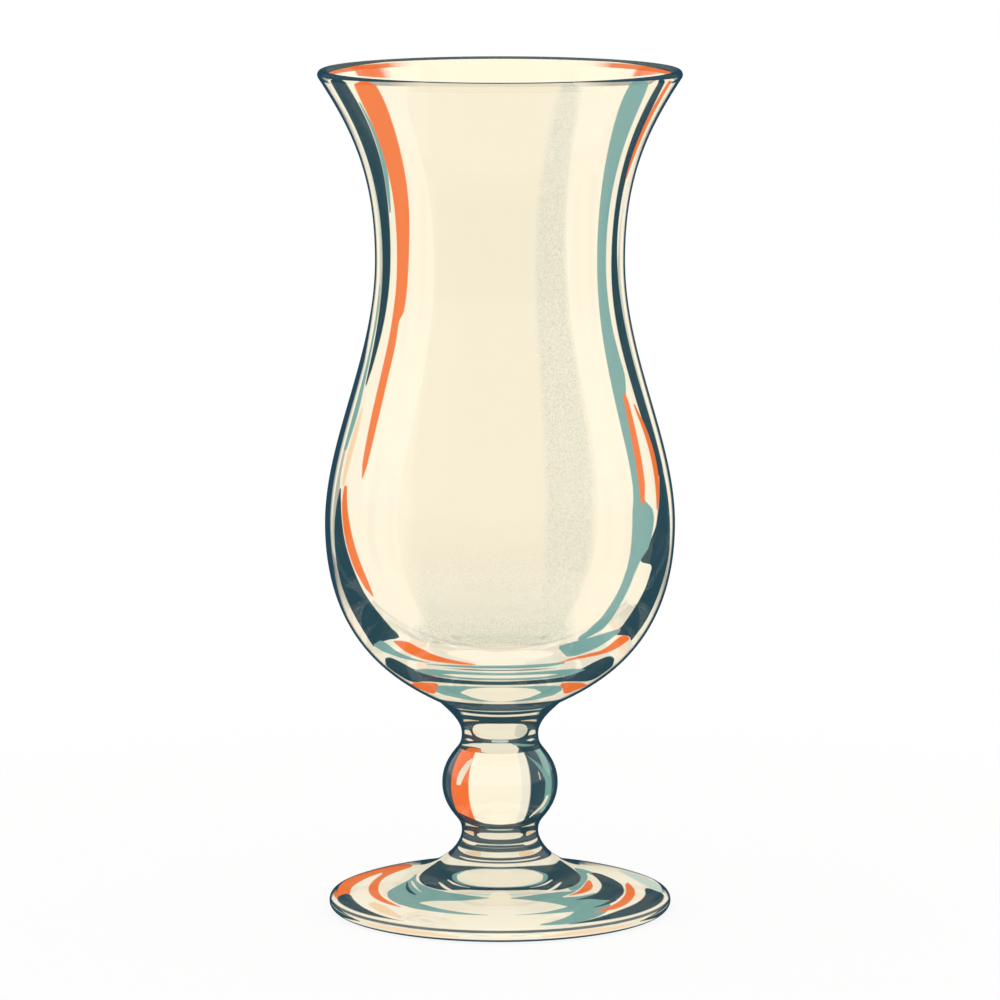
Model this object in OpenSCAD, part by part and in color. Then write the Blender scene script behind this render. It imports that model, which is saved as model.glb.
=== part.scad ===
// Hurricane glass: a tall footed glass with a flared rim, a waist and a belly.
// It is built as a glassmaker builds it, from five pieces of glass joined hot, face to face:
// the bowl, a spool under it, the ball knop, a second spool, and the foot.
// Every piece is a body of revolution about +Z. The foot rests on z = 0.

/* [Bowl] */
// Height of the bowl, from its joint with the stem to the top of the rim
bowl_h = 149.8; // [130:0.2:170]
// Outside radius of the rim
rim_r = 42.8; // [38:0.1:48]
// Thickness of the rounded lip
lip_t = 2.4; // [1.8:0.1:3.2]
// Slope of the wall just under the lip, from level
rim_slope = 57; // [48:1:68]
// Outside radius of the waist
waist_r = 29.4; // [26:0.1:34]
// Height of the waist above the bowl's joint
waist_h = 105.2; // [96:0.2:114]
// Wall at the waist
waist_wall = 3; // [2:0.1:4]
// Outside radius of the belly
belly_r = 41.4; // [37:0.1:46]
// Height of the belly above the bowl's joint
belly_h = 42.4; // [38:0.2:48]
// Wall at the belly
belly_wall = 3.2; // [2:0.1:4.2]
// Thickness of the solid glass under the floor of the bowl
floor_t = 8.4; // [5:0.1:11]
// Radius of the joint between bowl and stem
bowl_joint_r = 14.7; // [12.5:0.1:17]
// Slope of the bowl's underside where it meets the stem, from level
bowl_joint_slope = 27; // [20:1:34]

/* [Upper spool] */
// Height of the spool between bowl and knop
upper_spool_h = 11.2; // [9:0.1:14]
// Radius of its neck
upper_neck_r = 9.1; // [7:0.1:9.9]
// Height of its neck above the knop
upper_neck_h = 3.2; // [2.4:0.1:4.6]
// Slope of its flare under the bowl, from level
upper_flare_slope = 43; // [32:1:58]

/* [Knop] */
// Height of the ball knop, from joint to joint
knop_h = 17.4; // [14:0.1:21]
// Radius of the knop at its middle
knop_r = 13.75; // [11.5:0.05:17]
// Radius of the joints above and below the knop
knop_joint_r = 10; // [9.2:0.1:11]
// Slope of the knop's surface at its joints, from level
knop_joint_slope = 55; // [40:1:70]

/* [Lower spool] */
// Height of the spool between knop and foot
lower_spool_h = 8.6; // [7.2:0.1:12]
// Radius of its neck
lower_neck_r = 9.1; // [7:0.1:9.9]
// Height of its neck above the foot's joint
lower_neck_h = 5.8; // [4.6:0.1:6.4]

/* [Foot] */
// Height of the foot, from the table to its joint with the stem
foot_h = 13; // [10:0.2:17]
// Outside radius of the foot
foot_r = 40.7; // [34:0.1:48]
// Thickness of the foot's rounded edge
foot_edge_t = 3.9; // [2.6:0.1:5]
// Slope of the foot's upper side at its edge, from level
foot_edge_slope = 22; // [12:1:30]
// Radius of the joint between foot and stem
foot_joint_r = 12.3; // [11:0.1:15]
// Slope of the foot's upper side at its joint, from level
foot_joint_slope = 40; // [30:1:50]
// Width of the flat ring that the foot rests on
rest_ring_w = 3; // [1.5:0.1:5]
// Height of the hollow under the middle of the foot
hollow_h = 2; // [0.8:0.1:3]

/* [Hidden] */

glass_cream = [0.97, 0.94, 0.84];
glass_teal = [0.52, 0.70, 0.68];

// Facets round the axis, and points along each kind of curve
round_fn = 144;
wall_steps = 18;
stem_steps = 10;
lip_steps = 10;
hollow_steps = 8;

// Lengths of the curves' handles, as shares of the height that the curve spans
rim_share = 0.325;
waist_up_share = 0.47;
waist_down_share = 0.37;
belly_up_share = 0.32;
belly_down_share = 0.675;
floor_side_share = 0.62;
flare_share = 0.35;
neck_share = 0.4;
knop_end_share = 0.16;
knop_side_share = 0.555;
foot_flare_share = 0.3;
// Lengths of the handles that lie nearly level, as shares of the curve's width
bowl_joint_share = 0.39;
floor_mid_share = 0.55;
foot_joint_share = 0.35;
foot_edge_share = 0.34;

// Levels of the joints above the table
foot_joint_z = foot_h;
knop_foot_z = foot_joint_z + lower_spool_h;
knop_bowl_z = knop_foot_z + knop_h;
bowl_joint_z = knop_bowl_z + upper_spool_h;
rim_z = bowl_joint_z + bowl_h;

// A cubic curve from a to d that leaves a towards b and comes to d from c, in n steps
function curve(a, b, c, d, n) = [
    for (i = [0 : n])
        let (t = i / n, s = 1 - t)
        s * s * s * a + 3 * s * s * t * b + 3 * s * t * t * c + t * t * t * d
];

// The same points from last to first
function backwards(points) = [for (i = [len(points) - 1 : -1 : 0]) points[i]];

// A step of the given length, outwards and up at the given slope
function uphill(length, slope) = length * [cos(slope), sin(slope)];

// A step of the given length, outwards and down at the given slope
function downhill(length, slope) = length * [cos(slope), -sin(slope)];

// A step straight up
function up(length) = [0, length];

// Points of an arc about a centre, from one angle to another
function arc(centre, radius, from, to, n) = [
    for (i = [0 : n])
        centre + uphill(radius, from + (to - from) * i / n)
];

// Turns an outline, given as radius and height, about the axis
module turned(outline) {
    rotate_extrude($fn = round_fn) polygon(outline);
}

// One side of the bowl's wall from the lip to the belly. The two sides differ in the three
// points they pass: the lip's edge, the waist and the belly.
function wall_side(lip, waist, belly) =
    let (
        flare_h = lip.y - waist.y,
        drop_h = waist.y - belly.y,
        flare = curve(lip, lip - uphill(rim_share * flare_h, rim_slope),
                      waist + up(waist_up_share * flare_h), waist, wall_steps),
        drop = curve(waist, waist - up(waist_down_share * drop_h),
                     belly + up(belly_up_share * drop_h), belly, wall_steps)
    )
    concat(flare, drop);

// The bowl: flared rim, waist, belly, and a thick floor on the stem
module bowl() {
    lip_r = lip_t / 2;
    lip_centre = [rim_r - lip_r, rim_z - lip_r];
    lip_angle = rim_slope - 90;
    lip_out = lip_centre + uphill(lip_r, lip_angle);
    lip_in = lip_centre - uphill(lip_r, lip_angle);
    waist_z = bowl_joint_z + waist_h;
    belly_z = bowl_joint_z + belly_h;
    belly_out = [belly_r, belly_z];
    belly_in = [belly_r - belly_wall, belly_z];
    joint = [bowl_joint_r, bowl_joint_z];
    floor_mid = [0, bowl_joint_z + floor_t];
    floor_h = belly_z - floor_mid.y;
    under = curve(belly_out, belly_out - up(belly_down_share * belly_h),
                  joint + uphill(bowl_joint_share * (belly_r - bowl_joint_r), bowl_joint_slope),
                  joint, wall_steps);
    inside = curve(belly_in, belly_in - up(floor_side_share * floor_h),
                   floor_mid + [floor_mid_share * belly_in.x, 0], floor_mid, wall_steps);
    color(glass_cream)
        turned(concat(
            [[0, bowl_joint_z]],
            backwards(under),
            backwards(wall_side(lip_out, [waist_r, waist_z], belly_out)),
            arc(lip_centre, lip_r, lip_angle, lip_angle + 180, lip_steps),
            wall_side(lip_in, [waist_r - waist_wall, waist_z], belly_in),
            inside
        ));
}

// The outline of a spool between two joints: a concave neck
function spool_outline(low, low_handle, neck, high, high_handle) =
    let (
        lower_h = neck.y - low.y,
        upper_h = high.y - neck.y,
        lower = curve(low, low + low_handle * lower_h, neck - up(neck_share * lower_h), neck,
                      stem_steps),
        upper = curve(neck, neck + up(neck_share * upper_h), high - high_handle * upper_h, high,
                      stem_steps)
    )
    concat([[0, low.y]], lower, upper, [[0, high.y]]);

// The spool that carries the bowl on the knop
module upper_spool() {
    color(glass_teal)
        turned(spool_outline(
            [knop_joint_r, knop_bowl_z], -downhill(neck_share, knop_joint_slope),
            [upper_neck_r, knop_bowl_z + upper_neck_h],
            [bowl_joint_r, bowl_joint_z], uphill(flare_share, upper_flare_slope)
        ));
}

// The ball knop, a little flatter at its joints than a true ball
module knop() {
    half_h = knop_h / 2;
    middle = [knop_r, knop_foot_z + half_h];
    top = [knop_joint_r, knop_bowl_z];
    bottom = [knop_joint_r, knop_foot_z];
    lower = curve(bottom, bottom + uphill(knop_end_share * half_h, knop_joint_slope),
                  middle - up(knop_side_share * half_h), middle, stem_steps);
    upper = curve(middle, middle + up(knop_side_share * half_h),
                  top + downhill(knop_end_share * half_h, knop_joint_slope), top, stem_steps);
    color(glass_cream)
        turned(concat([[0, knop_foot_z]], lower, upper, [[0, knop_bowl_z]]));
}

// The spool that carries the knop on the foot
module lower_spool() {
    color(glass_teal)
        turned(spool_outline(
            [foot_joint_r, foot_joint_z], -downhill(foot_flare_share, foot_joint_slope),
            [lower_neck_r, foot_joint_z + lower_neck_h],
            [knop_joint_r, knop_foot_z], uphill(neck_share, knop_joint_slope)
        ));
}

// The foot: a cone that spreads into a disc with a round edge, hollow underneath
module foot() {
    edge_r = foot_edge_t / 2;
    edge_centre = [foot_r - edge_r, edge_r];
    edge_top_angle = 90 - foot_edge_slope;
    edge_top = edge_centre + uphill(edge_r, edge_top_angle);
    joint = [foot_joint_r, foot_joint_z];
    spread_w = edge_top.x - foot_joint_r;
    hollow_r = edge_centre.x - rest_ring_w;
    hollow = [for (i = [0 : hollow_steps])
        let (share = i / hollow_steps)
        [hollow_r * share, hollow_h * (1 - share * share)]];
    upper_side = curve(joint, joint + downhill(foot_joint_share * spread_w, foot_joint_slope),
                       edge_top - downhill(foot_edge_share * spread_w, foot_edge_slope),
                       edge_top, wall_steps);
    color(glass_cream)
        turned(concat(
            hollow,
            arc(edge_centre, edge_r, -90, edge_top_angle, lip_steps),
            backwards(upper_side),
            [[0, foot_joint_z]]
        ));
}

bowl();
upper_spool();
knop();
lower_spool();
foot();
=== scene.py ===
# %% [markdown]
# # A hurricane glass, blown by hand and joined hot
#
# The glass in the picture is five pieces of clear glass: the blown bowl, a spool, the ball knop,
# a second spool and the foot. The picture draws it in flat inks: cream where light comes through,
# deep blue-green at the edges, and orange and teal where the glass catches coloured cards. This
# script dresses the imported model in real glass, puts it in a studio with such cards, and lays the
# drawn streaks, highlights and shade on the glass as a thin coat of painted reflection, so that
# they stay in their places from every side.

# %% [markdown]
# ## The imported model
#
# The model comes in as a fixed frame in metres, with the foot on the floor at zero.

import bpy
import numpy as np
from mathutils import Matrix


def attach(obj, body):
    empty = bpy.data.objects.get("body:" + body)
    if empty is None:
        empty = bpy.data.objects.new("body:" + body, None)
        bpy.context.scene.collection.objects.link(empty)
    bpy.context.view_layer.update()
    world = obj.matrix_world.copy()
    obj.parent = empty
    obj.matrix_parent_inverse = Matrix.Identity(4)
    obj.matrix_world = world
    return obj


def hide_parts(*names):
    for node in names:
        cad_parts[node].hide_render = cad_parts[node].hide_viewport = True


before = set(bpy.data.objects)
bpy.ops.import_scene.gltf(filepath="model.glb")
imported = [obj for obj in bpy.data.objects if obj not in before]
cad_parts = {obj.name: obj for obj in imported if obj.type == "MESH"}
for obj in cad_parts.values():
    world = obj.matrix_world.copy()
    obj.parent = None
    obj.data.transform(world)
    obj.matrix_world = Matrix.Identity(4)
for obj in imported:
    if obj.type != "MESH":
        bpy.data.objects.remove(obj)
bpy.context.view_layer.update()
scene = bpy.context.scene

# %% [markdown]
# ## The camera
#
# The picture is drawn through a long lens from just above the rim: the mouth is a thin ellipse
# and the foot a wider one. A camera could be placed by eye, but the two ellipses and the height
# between them leave only one distance, height and tilt, so those are worked out and kept.

# %% Camera
EYE = (0.0, -1.407, 0.305)
LOOK_DOWN = 0.1460
FOCAL_MM = 216.54
SENSOR_MM = 36.0

camera_data = bpy.data.cameras.new("camera")
camera_data.sensor_width = SENSOR_MM
camera_data.lens = FOCAL_MM
camera_data.clip_start = 0.01
camera_data.clip_end = 50.0
camera = bpy.data.objects.new("camera", camera_data)
camera.location = EYE
camera.rotation_euler = (np.pi / 2 - LOOK_DOWN, 0.0, 0.0)
scene.collection.objects.link(camera)
scene.camera = camera
scene.view_settings.view_transform = "Standard"
print("Camera", EYE, "lens", FOCAL_MM, "mm")


# %% [markdown]
# ## Colours
#
# Blender's shaders work in linear light, and a colour listed here is in display values, so one
# helper turns the second into the first.

# %% Display colours
def linear(red, green, blue):
    """Display values to linear light: the low end is divided by 12.92, the rest is a power of 2.4."""
    shown = np.array([red, green, blue])
    low = shown / 12.92
    high = ((shown + 0.055) / 1.055) ** 2.4
    return (*np.where(shown <= 0.04045, low, high), 1.0)


WHITE = (1.0, 1.0, 1.0, 1.0)
CREAM = (1.08, 1.07, 1.05, 1.0)
SOFT = (1.02, 1.01, 0.99, 1.0)
DIM = (0.42, 0.42, 0.42, 1.0)
STEM_CREAM = (1.06, 1.01, 0.90, 1.0)
STEM_GREY = (0.90, 0.91, 0.86, 1.0)
MOUTH_CREAM = (1.08, 1.03, 0.86, 1.0)
NAVY = linear(0.12, 0.27, 0.34)
ORANGE = linear(1.0, 0.46, 0.18)
TEAL = linear(0.47, 0.69, 0.68)
print("Studio cards: cream, soft grey, navy, orange and teal")


# %% [markdown]
# ## Reusable node wiring
#
# Both the studio and the glass are worked out in shader nodes, and wiring them one by one takes
# many lines. A small class keeps it readable: it holds what a node puts out, and a sum that is
# written with it adds the Math nodes that work the sum out.

# %% Values that nodes put out
class Value:
    """What a node puts out. A sum on it adds Math nodes to its tree, and a comparison gives 1
    where it holds and 0 where it doesn't."""

    def __init__(self, tree, socket):
        self.tree, self.socket = tree, socket

    def __add__(self, other):
        return sums(self.tree, "ADD", self, other)

    def __sub__(self, other):
        return sums(self.tree, "SUBTRACT", self, other)

    def __rsub__(self, other):
        return sums(self.tree, "SUBTRACT", other, self)

    def __mul__(self, other):
        return sums(self.tree, "MULTIPLY", self, other)

    def __truediv__(self, other):
        return sums(self.tree, "DIVIDE", self, other)

    def __mod__(self, other):
        return sums(self.tree, "MODULO", self, other)

    def __gt__(self, other):
        return sums(self.tree, "GREATER_THAN", self, other)

    def __lt__(self, other):
        return sums(self.tree, "LESS_THAN", self, other)

    def __abs__(self):
        return sums(self.tree, "ABSOLUTE", self)


def feed(socket, value):
    """Joins a value to a socket, or sets the socket to a number or colour."""
    if isinstance(value, Value):
        value.tree.links.new(value.socket, socket)
    else:
        socket.default_value = value


def sums(tree, operation, *values):
    """One Math node: the operation's name, then its inputs."""
    node = tree.nodes.new("ShaderNodeMath")
    node.operation = operation
    for socket, value in zip(node.inputs, values):
        feed(socket, value)
    return Value(tree, node.outputs[0])


# %% Limits and blends
def least(value, other):
    """The smaller of two values."""
    return sums(value.tree, "MINIMUM", value, other)


def most(value, other):
    """The larger of two values."""
    return sums(value.tree, "MAXIMUM", value, other)


def held(value):
    """A value kept between 0 and 1."""
    return least(most(value, 0.0), 1.0)


def blend(share, first, second):
    """A colour: first where the share is 0, second where it is 1."""
    node = share.tree.nodes.new("ShaderNodeMix")
    node.data_type = "RGBA"
    feed(node.inputs["Factor"], share)
    feed(node.inputs["A"], first)
    feed(node.inputs["B"], second)
    return Value(share.tree, node.outputs["Result"])


def mixed(share, first, second):
    """A shader's output: the first where the share is 0, the second where it is 1."""
    node = first.tree.nodes.new("ShaderNodeMixShader")
    for socket, value in zip(node.inputs, (share, first, second)):
        feed(socket, value)
    return Value(first.tree, node.outputs[0])


# %% Colours along a value
def graded(value, stops, low, high, curve="LINEAR"):
    """A colour ramp over a value from low to high. Each stop is where it lies and its colour."""
    node = value.tree.nodes.new("ShaderNodeValToRGB")
    colours = node.color_ramp
    colours.interpolation = curve
    while len(colours.elements) > 1:
        colours.elements.remove(colours.elements[0])
    colours.elements[0].position = 0.0
    colours.elements[0].color = stops[0][1]
    for at, colour in stops[1:]:
        share = (at - low) / (high - low)
        colours.elements.new(min(max(share, 0.0), 1.0)).color = colour
    feed(node.inputs["Fac"], (value - low) / (high - low))
    return Value(value.tree, node.outputs["Color"])


def bands(value, stops, low, high, edge):
    """Flat bands of colour along a value: each stop is where a band starts and its colour, and
    neighbouring bands run into each other over twice the edge width."""
    points = [(low, stops[0][1])]
    for (_, before), (start, colour) in zip(stops, stops[1:]):
        points += [(start - edge, before), (start + edge, colour)]
    return graded(value, points, low, high)


# %% [markdown]
# ## The studio
#
# Clear glass has no colour of its own to speak of: it shows the room. Photographers light it from
# a bright field and stand dark and coloured cards just outside the view, and the cards come back
# as streaks along the walls. Real cards would be seen themselves, and would stand right for one
# camera only. Here the world is the room, and its cards go round in a repeating pattern, so that
# the glass looks the same from every side. The eye and the floor see a plain white room. Light
# that has been through the glass sees the cards, by the direction in which it leaves.

# %% Directions in the room
world = bpy.data.worlds.new("studio")
scene.world = world
world.use_nodes = True
room = world.node_tree
room.nodes.clear()
split = room.nodes.new("ShaderNodeSeparateXYZ")
feed(split.inputs[0], Value(room, room.nodes.new("ShaderNodeTexCoord").outputs["Generated"]))
way_x, way_y, way_z = (Value(room, output) for output in split.outputs)

DEGREE = 180 / np.pi
turn = sums(room, "ARCTAN2", way_x, way_y) * DEGREE
climb = sums(room, "ARCSINE", way_z) * DEGREE


def folded(period, start):
    """The turn repeated every so many degrees, beginning at start."""
    return (turn + (360 - start)) % period + start


eighth = folded(45, -22.5)
quarter = folded(90, -45)
half_turn = folded(180, -90)
across = abs(quarter)
print("Three patterns go round the room: every 45, 90 and 180 degrees")


# %% A number that follows another
def bend(value, points):
    """A number that follows another one along straight lines between points (value, result),
    with results from 0 to 2."""
    stops = [(at, (result / 2, result / 2, result / 2, 1)) for at, result in points]
    return graded(value, stops, points[0][0], points[-1][0]) * 2


# %% [markdown]
# ## The cards behind the bowl, the mouth and the stem
#
# A thin wall hardly bends light, so the whole bowl sees only the nearest part of the pattern, and
# the solid ball is a strong lens that sees half the room turned round. Each therefore gets its own
# row of cards. The wall bends light more where it slopes, so the bowl's row is also squeezed or
# spread by how steeply the light leaves.

# %% Cards seen through glass
squeeze = bend(climb, [
    (-50, 0.68), (-36, 0.72), (-22, 0.85), (-16, 1.0), (-12, 1.15), (-10, 1.25), (-8, 1.18),
    (-7, 1.08), (-6, 0.95), (-5, 0.80), (0, 0.75),
])
through_bowl = bands(eighth * squeeze, [
    (-32, NAVY), (-18.5, TEAL), (-16, CREAM), (-3.8, SOFT), (3.8, CREAM), (16.5, TEAL), (18.0, NAVY),
], -32, 32, edge=0.25)
through_mouth = bands(eighth, [
    (-22.5, MOUTH_CREAM), (-3.8, ORANGE), (-2.3, MOUTH_CREAM), (3.1, ORANGE), (7.5, MOUTH_CREAM),
], -22.5, 22.5, edge=0.08)
through_stem = bands(half_turn, [
    (-90, STEM_CREAM), (-66, NAVY), (-54, TEAL), (-40.4, NAVY), (-22.5, STEM_GREY),
    (-15, STEM_CREAM), (23.4, ORANGE), (47, NAVY), (66, STEM_CREAM),
], -90, 90, edge=0.4)
print("Rows of cards for the bowl, the mouth and the stem")


# %% [markdown]
# ## The cards for light that bounces inside
#
# Near an edge, light can't leave the glass at its first try: it is thrown back, and leaves after
# two, three or more bounces. Those rays draw the fine dark and coloured lines of thick glass. In
# a plain white room they would be white and the edges would vanish, so each number of bounces has
# its own row, darker as the number grows.

# %% Two kinds of rows
def near_row(*stops):
    """A row of cards over an eighth of the room, mirrored and repeated all round."""
    return bands(across, stops, 0, 45, edge=0.5)


def wide_row(*stops):
    """A row of cards over half the room, repeated behind."""
    return bands(half_turn, stops, -90, 90, edge=0.5)


# %% Cards seen after bounces
once = near_row((0, CREAM), (5, NAVY), (13, CREAM), (23, TEAL), (28, NAVY))
once_up = near_row((0, CREAM), (17, TEAL), (21, NAVY), (31, TEAL), (36, SOFT))
twice = near_row((0, CREAM), (12, TEAL), (18, NAVY))
thrice = near_row((0, CREAM), (34.5, ORANGE), (38.5, NAVY))
wall_thrice = near_row((0, CREAM), (17, NAVY))
fourth = near_row((0, SOFT), (12, TEAL), (34, NAVY))
fifth = wide_row(
    (-90, CREAM), (-60, NAVY), (-42, SOFT), (-39, NAVY), (-31, TEAL), (-13, CREAM), (14, ORANGE),
    (22, TEAL), (31, NAVY), (38, ORANGE), (43, CREAM), (48, NAVY), (60, CREAM))
seventh = wide_row(
    (-90, CREAM), (-86, NAVY), (-82, ORANGE), (-74, CREAM), (-66, TEAL), (-57, NAVY), (-50, CREAM),
    (54, ORANGE), (60, CREAM), (66, TEAL), (71, NAVY), (87, CREAM))
ninth = wide_row((-90, NAVY), (-80, CREAM), (-67, ORANGE), (-60, CREAM), (78, NAVY))
skin = bands(climb, [(-90, CREAM), (-40, NAVY), (4, SOFT)], -90, 90, edge=3)
print("Rows of cards for one to nine bounces")

# %% [markdown]
# ## Choosing the card that a ray sees
#
# Light Path counts how often a ray has gone through glass, bounced, or scattered. Through both
# walls of the bowl is four crossings, and through the solid stem is two. A ray through the open
# mouth also makes two, and is told from the stem's by three clear sheets that lie over the mouth.
# The eye itself, and all scattered light, sees plain white, which is what lights the object.

# %% Kinds of rays
MOUTH_SHEETS = 3
STEEP, BACK_FROM, BACK_OVER = 45, 105.0, 40.0
MOUTH_LOW, MOUTH_HIGH, FLAT_WALL_LOW, FLAT_WALL_HIGH = -60, -2, -13, -3
ONCE_UP_FROM, ONCE_DOWN_TO = 10, -30
ray = room.nodes.new("ShaderNodeLightPath")
crossings, bounces, scatters, clear_faces, by_eye, by_matt = (
    Value(room, ray.outputs[name]) for name in (
        "Transmission Depth", "Glossy Depth", "Diffuse Depth", "Transparent Depth", "Is Camera Ray",
        "Is Diffuse Ray"))


def at_least(count, number):
    """1 where a count is at least so many."""
    return count > number - 0.5


def between(value, low, high):
    """1 where a value lies between two others."""
    return (value > low) * (value < high)


# %% The room by kind of ray
by_mouth = between(climb, MOUTH_LOW, MOUTH_HIGH) * at_least(clear_faces, MOUTH_SHEETS)
seen = blend(at_least(crossings, 4), blend(by_mouth, through_stem, through_mouth), through_bowl)
seen = blend(abs(climb) > STEEP, seen, CREAM)
thrice = blend(between(climb, FLAT_WALL_LOW, FLAT_WALL_HIGH), thrice, wall_thrice)
back = held((abs(turn) - BACK_FROM) / BACK_OVER)
once = blend(back, blend(climb > ONCE_UP_FROM, once, once_up), DIM)
inner = blend(climb < ONCE_DOWN_TO, once, CREAM)
for count, cards in (
        (2, twice), (3, thrice), (4, fourth), (5, fifth), (7, seventh), (9, ninth), (11, NAVY)):
    inner = blend(at_least(bounces, count), inner, cards)
inner = blend(at_least(crossings, 3), inner, blend(back, CREAM, DIM))
inner = blend(at_least(crossings, 1), skin, inner)
seen = blend(at_least(bounces, 1), seen, inner)
plain = most(most(by_eye, at_least(scatters, 1)), by_matt)
background = room.nodes.new("ShaderNodeBackground")
feed(background.inputs["Color"], blend(plain, seen, WHITE))
background.inputs["Strength"].default_value = 1.0
room_out = room.nodes.new("ShaderNodeOutputWorld")
room.links.new(background.outputs[0], room_out.inputs["Surface"])
print("The studio has", len(room.nodes), "nodes")

# %% [markdown]
# ## Bounces that deep glass needs
#
# A ray that runs out of bounces turns black. Solid glass keeps light inside for ten bounces and
# more, so the limits are raised well past that.

# %% Bounces
scene.cycles.max_bounces = 32
scene.cycles.transmission_bounces = 32
scene.cycles.glossy_bounces = 32
scene.cycles.transparent_max_bounces = 64
scene.cycles.caustics_reflective = True
scene.cycles.caustics_refractive = True
print("Light may bounce", scene.cycles.max_bounces, "times")

# %% [markdown]
# ## The floor
#
# The picture has no table: the glass stands on white paper. A sheet that is lit like the object
# would come out grey, so the paper is part scattering, which keeps the soft shadow, and part
# glow at the level of the background. It fades out before its edge, so that no edge shows. A
# second small sheet is seen only through the foot, because the world is what glass sees elsewhere.

# %% A flat round sheet
FLOOR_R = 0.20
FLOOR_FADE = 0.06


def disc(name, radius, height, rings=24, around=128):
    """A flat round sheet: rings of points at even steps of the radius, with one point in the
    middle."""
    angle = np.linspace(0, 2 * np.pi, around, endpoint=False)
    reach = radius * np.arange(1, rings + 1) / rings
    x = np.outer(reach, np.cos(angle)).ravel()
    y = np.outer(reach, np.sin(angle)).ravel()
    points = np.vstack([[0, 0, height], np.stack([x, y, np.full(x.size, height)], 1)])
    index = 1 + np.arange(rings * around).reshape(rings, around)
    nearer, further = index[:-1], index[1:]
    quads = np.stack([nearer, further, np.roll(further, -1, 1), np.roll(nearer, -1, 1)], -1)
    fan = np.stack([np.zeros(around, int), index[0], np.roll(index[0], -1)], 1)
    mesh = bpy.data.meshes.new(name)
    mesh.from_pydata(points.tolist(), [], fan.tolist() + quads.reshape(-1, 4).tolist())
    thing = bpy.data.objects.new(name, mesh)
    scene.collection.objects.link(thing)
    print(name, len(mesh.polygons), "faces")
    return thing


# %% Floor
UNDER_FOOT_R = 0.0402
floor = disc("floor", FLOOR_R + FLOOR_FADE, -0.0002)
floor.visible_glossy = False
floor.visible_transmission = False
under_foot = disc("floor_under_foot", UNDER_FOOT_R, -0.0003)
under_foot.visible_camera = False
under_foot.visible_diffuse = False
under_foot.visible_glossy = False
under_foot.visible_shadow = False

# %% Materials from nothing
def blank_material(name):
    """A material without nodes but its output, with the socket that its surface goes into."""
    material = bpy.data.materials.new(name)
    material.use_nodes = True
    tree = material.node_tree
    tree.nodes.clear()
    return material, tree, tree.nodes.new("ShaderNodeOutputMaterial").inputs["Surface"]


def shader_of(tree, kind):
    """A shader's node by the last part of its name, and its output."""
    node = tree.nodes.new("ShaderNode" + kind)
    return node, Value(tree, node.outputs[0])


def object_place(tree):
    """The place of a point in the object's own coordinates, in metres."""
    return Value(tree, tree.nodes.new("ShaderNodeTexCoord").outputs["Object"])


def vector(value, operation, other=None, output="Vector"):
    """One Vector Math node on a place or a way."""
    node = value.tree.nodes.new("ShaderNodeVectorMath")
    node.operation = operation
    feed(node.inputs[0], value)
    if other is not None:
        feed(node.inputs[1], other)
    return Value(value.tree, node.outputs[output])


# %% White paper
PAPER_WHITE, PAPER_GLOW = (0.93, 0.93, 0.93, 1), 0.88
paper, sheet, paper_surface = blank_material("white_paper")
matt_node, matt = shader_of(sheet, "BsdfDiffuse")
matt_node.inputs["Color"].default_value = PAPER_WHITE
glow = shader_of(sheet, "Emission")[1]
clear = shader_of(sheet, "BsdfTransparent")[1]
reach = vector(object_place(sheet), "LENGTH", output="Value")
fade = held((reach - (FLOOR_R - FLOOR_FADE)) / (2 * FLOOR_FADE))
feed(paper_surface, mixed(fade, mixed(PAPER_GLOW, matt, glow), clear))
floor.data.materials.append(paper)
under_foot.data.materials.append(paper)
print("The paper fades out between", FLOOR_R - FLOOR_FADE, "and", FLOOR_R + FLOOR_FADE, "m")


# %% [markdown]
# ## Drawing on glass
#
# On the real glass a streak is a reflection with soft ends. In the picture each one is a drawn
# shape with crisp, rounded edges. Such shapes could be cut out as thin meshes, or painted as an
# image. Here they are sums on Object coordinates, in millimetres and degrees round the axis: they
# need no image, they are sharp at any size, and they stay on the glass when it is turned.

# %% Soft limits
def mask(value, middle, half, soft):
    """1 where a value is within half of the middle, with a soft edge."""
    return held((half - abs(value - middle)) / soft + 0.5)


# %% Places on a round piece
FRONT, BACK = -90, 90


def along(place, angle):
    """How far a place lies along a level direction, in millimetres. The direction is given by
    its angle from the +X side."""
    way = (1000 * np.cos(np.radians(angle)), 1000 * np.sin(np.radians(angle)), 0)
    return vector(place, "DOT_PRODUCT", way, "Value")


def turn_from(place, angle):
    """How many degrees a place is turned from a level direction, from -180 to 180: the arc
    tangent of how far it lies across the direction over how far along it."""
    return sums(place.tree, "ARCTAN2", along(place, angle + 90), along(place, angle)) * DEGREE


def front_turn(place):
    """How many degrees a place is turned from the front or from the back, from -90 to 90."""
    return (turn_from(place, FRONT) + 450) % 180 - 90


# %% A shape between two edges
def patch(u, v, points, soft):
    """A shape between two edges that follow u along smooth curves. Each point is a value of u and
    v at the two edges, which run together just past both ends. The share is how far v is inside
    the nearer edge, divided by the softness, from 0 to 1. One ramp holds both edges: the lower in
    its red and the upper in its green."""
    first, last = points[0], points[-1]
    step = (last[0] - first[0]) / 100
    start, end = (first[1] + first[2]) / 2, (last[1] + last[2]) / 2
    points = [(first[0] - 2 * step, start, start), (first[0] - step, start, start), *points,
              (last[0] + step, end, end), (last[0] + 2 * step, end, end)]
    bottom = min(point[1] for point in points)
    span = max(point[2] for point in points) - bottom
    stops = [(at, ((lower - bottom) / span, (upper - bottom) / span, 0, 1))
             for at, lower, upper in points]
    both = u.tree.nodes.new("ShaderNodeSeparateColor")
    feed(both.inputs[0], graded(u, stops, points[0][0], points[-1][0], "B_SPLINE"))
    lower, upper = Value(u.tree, both.outputs[0]), Value(u.tree, both.outputs[1])
    level = (v - bottom) / span
    return held(least(level - lower, upper - level) * (span / soft))


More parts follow.
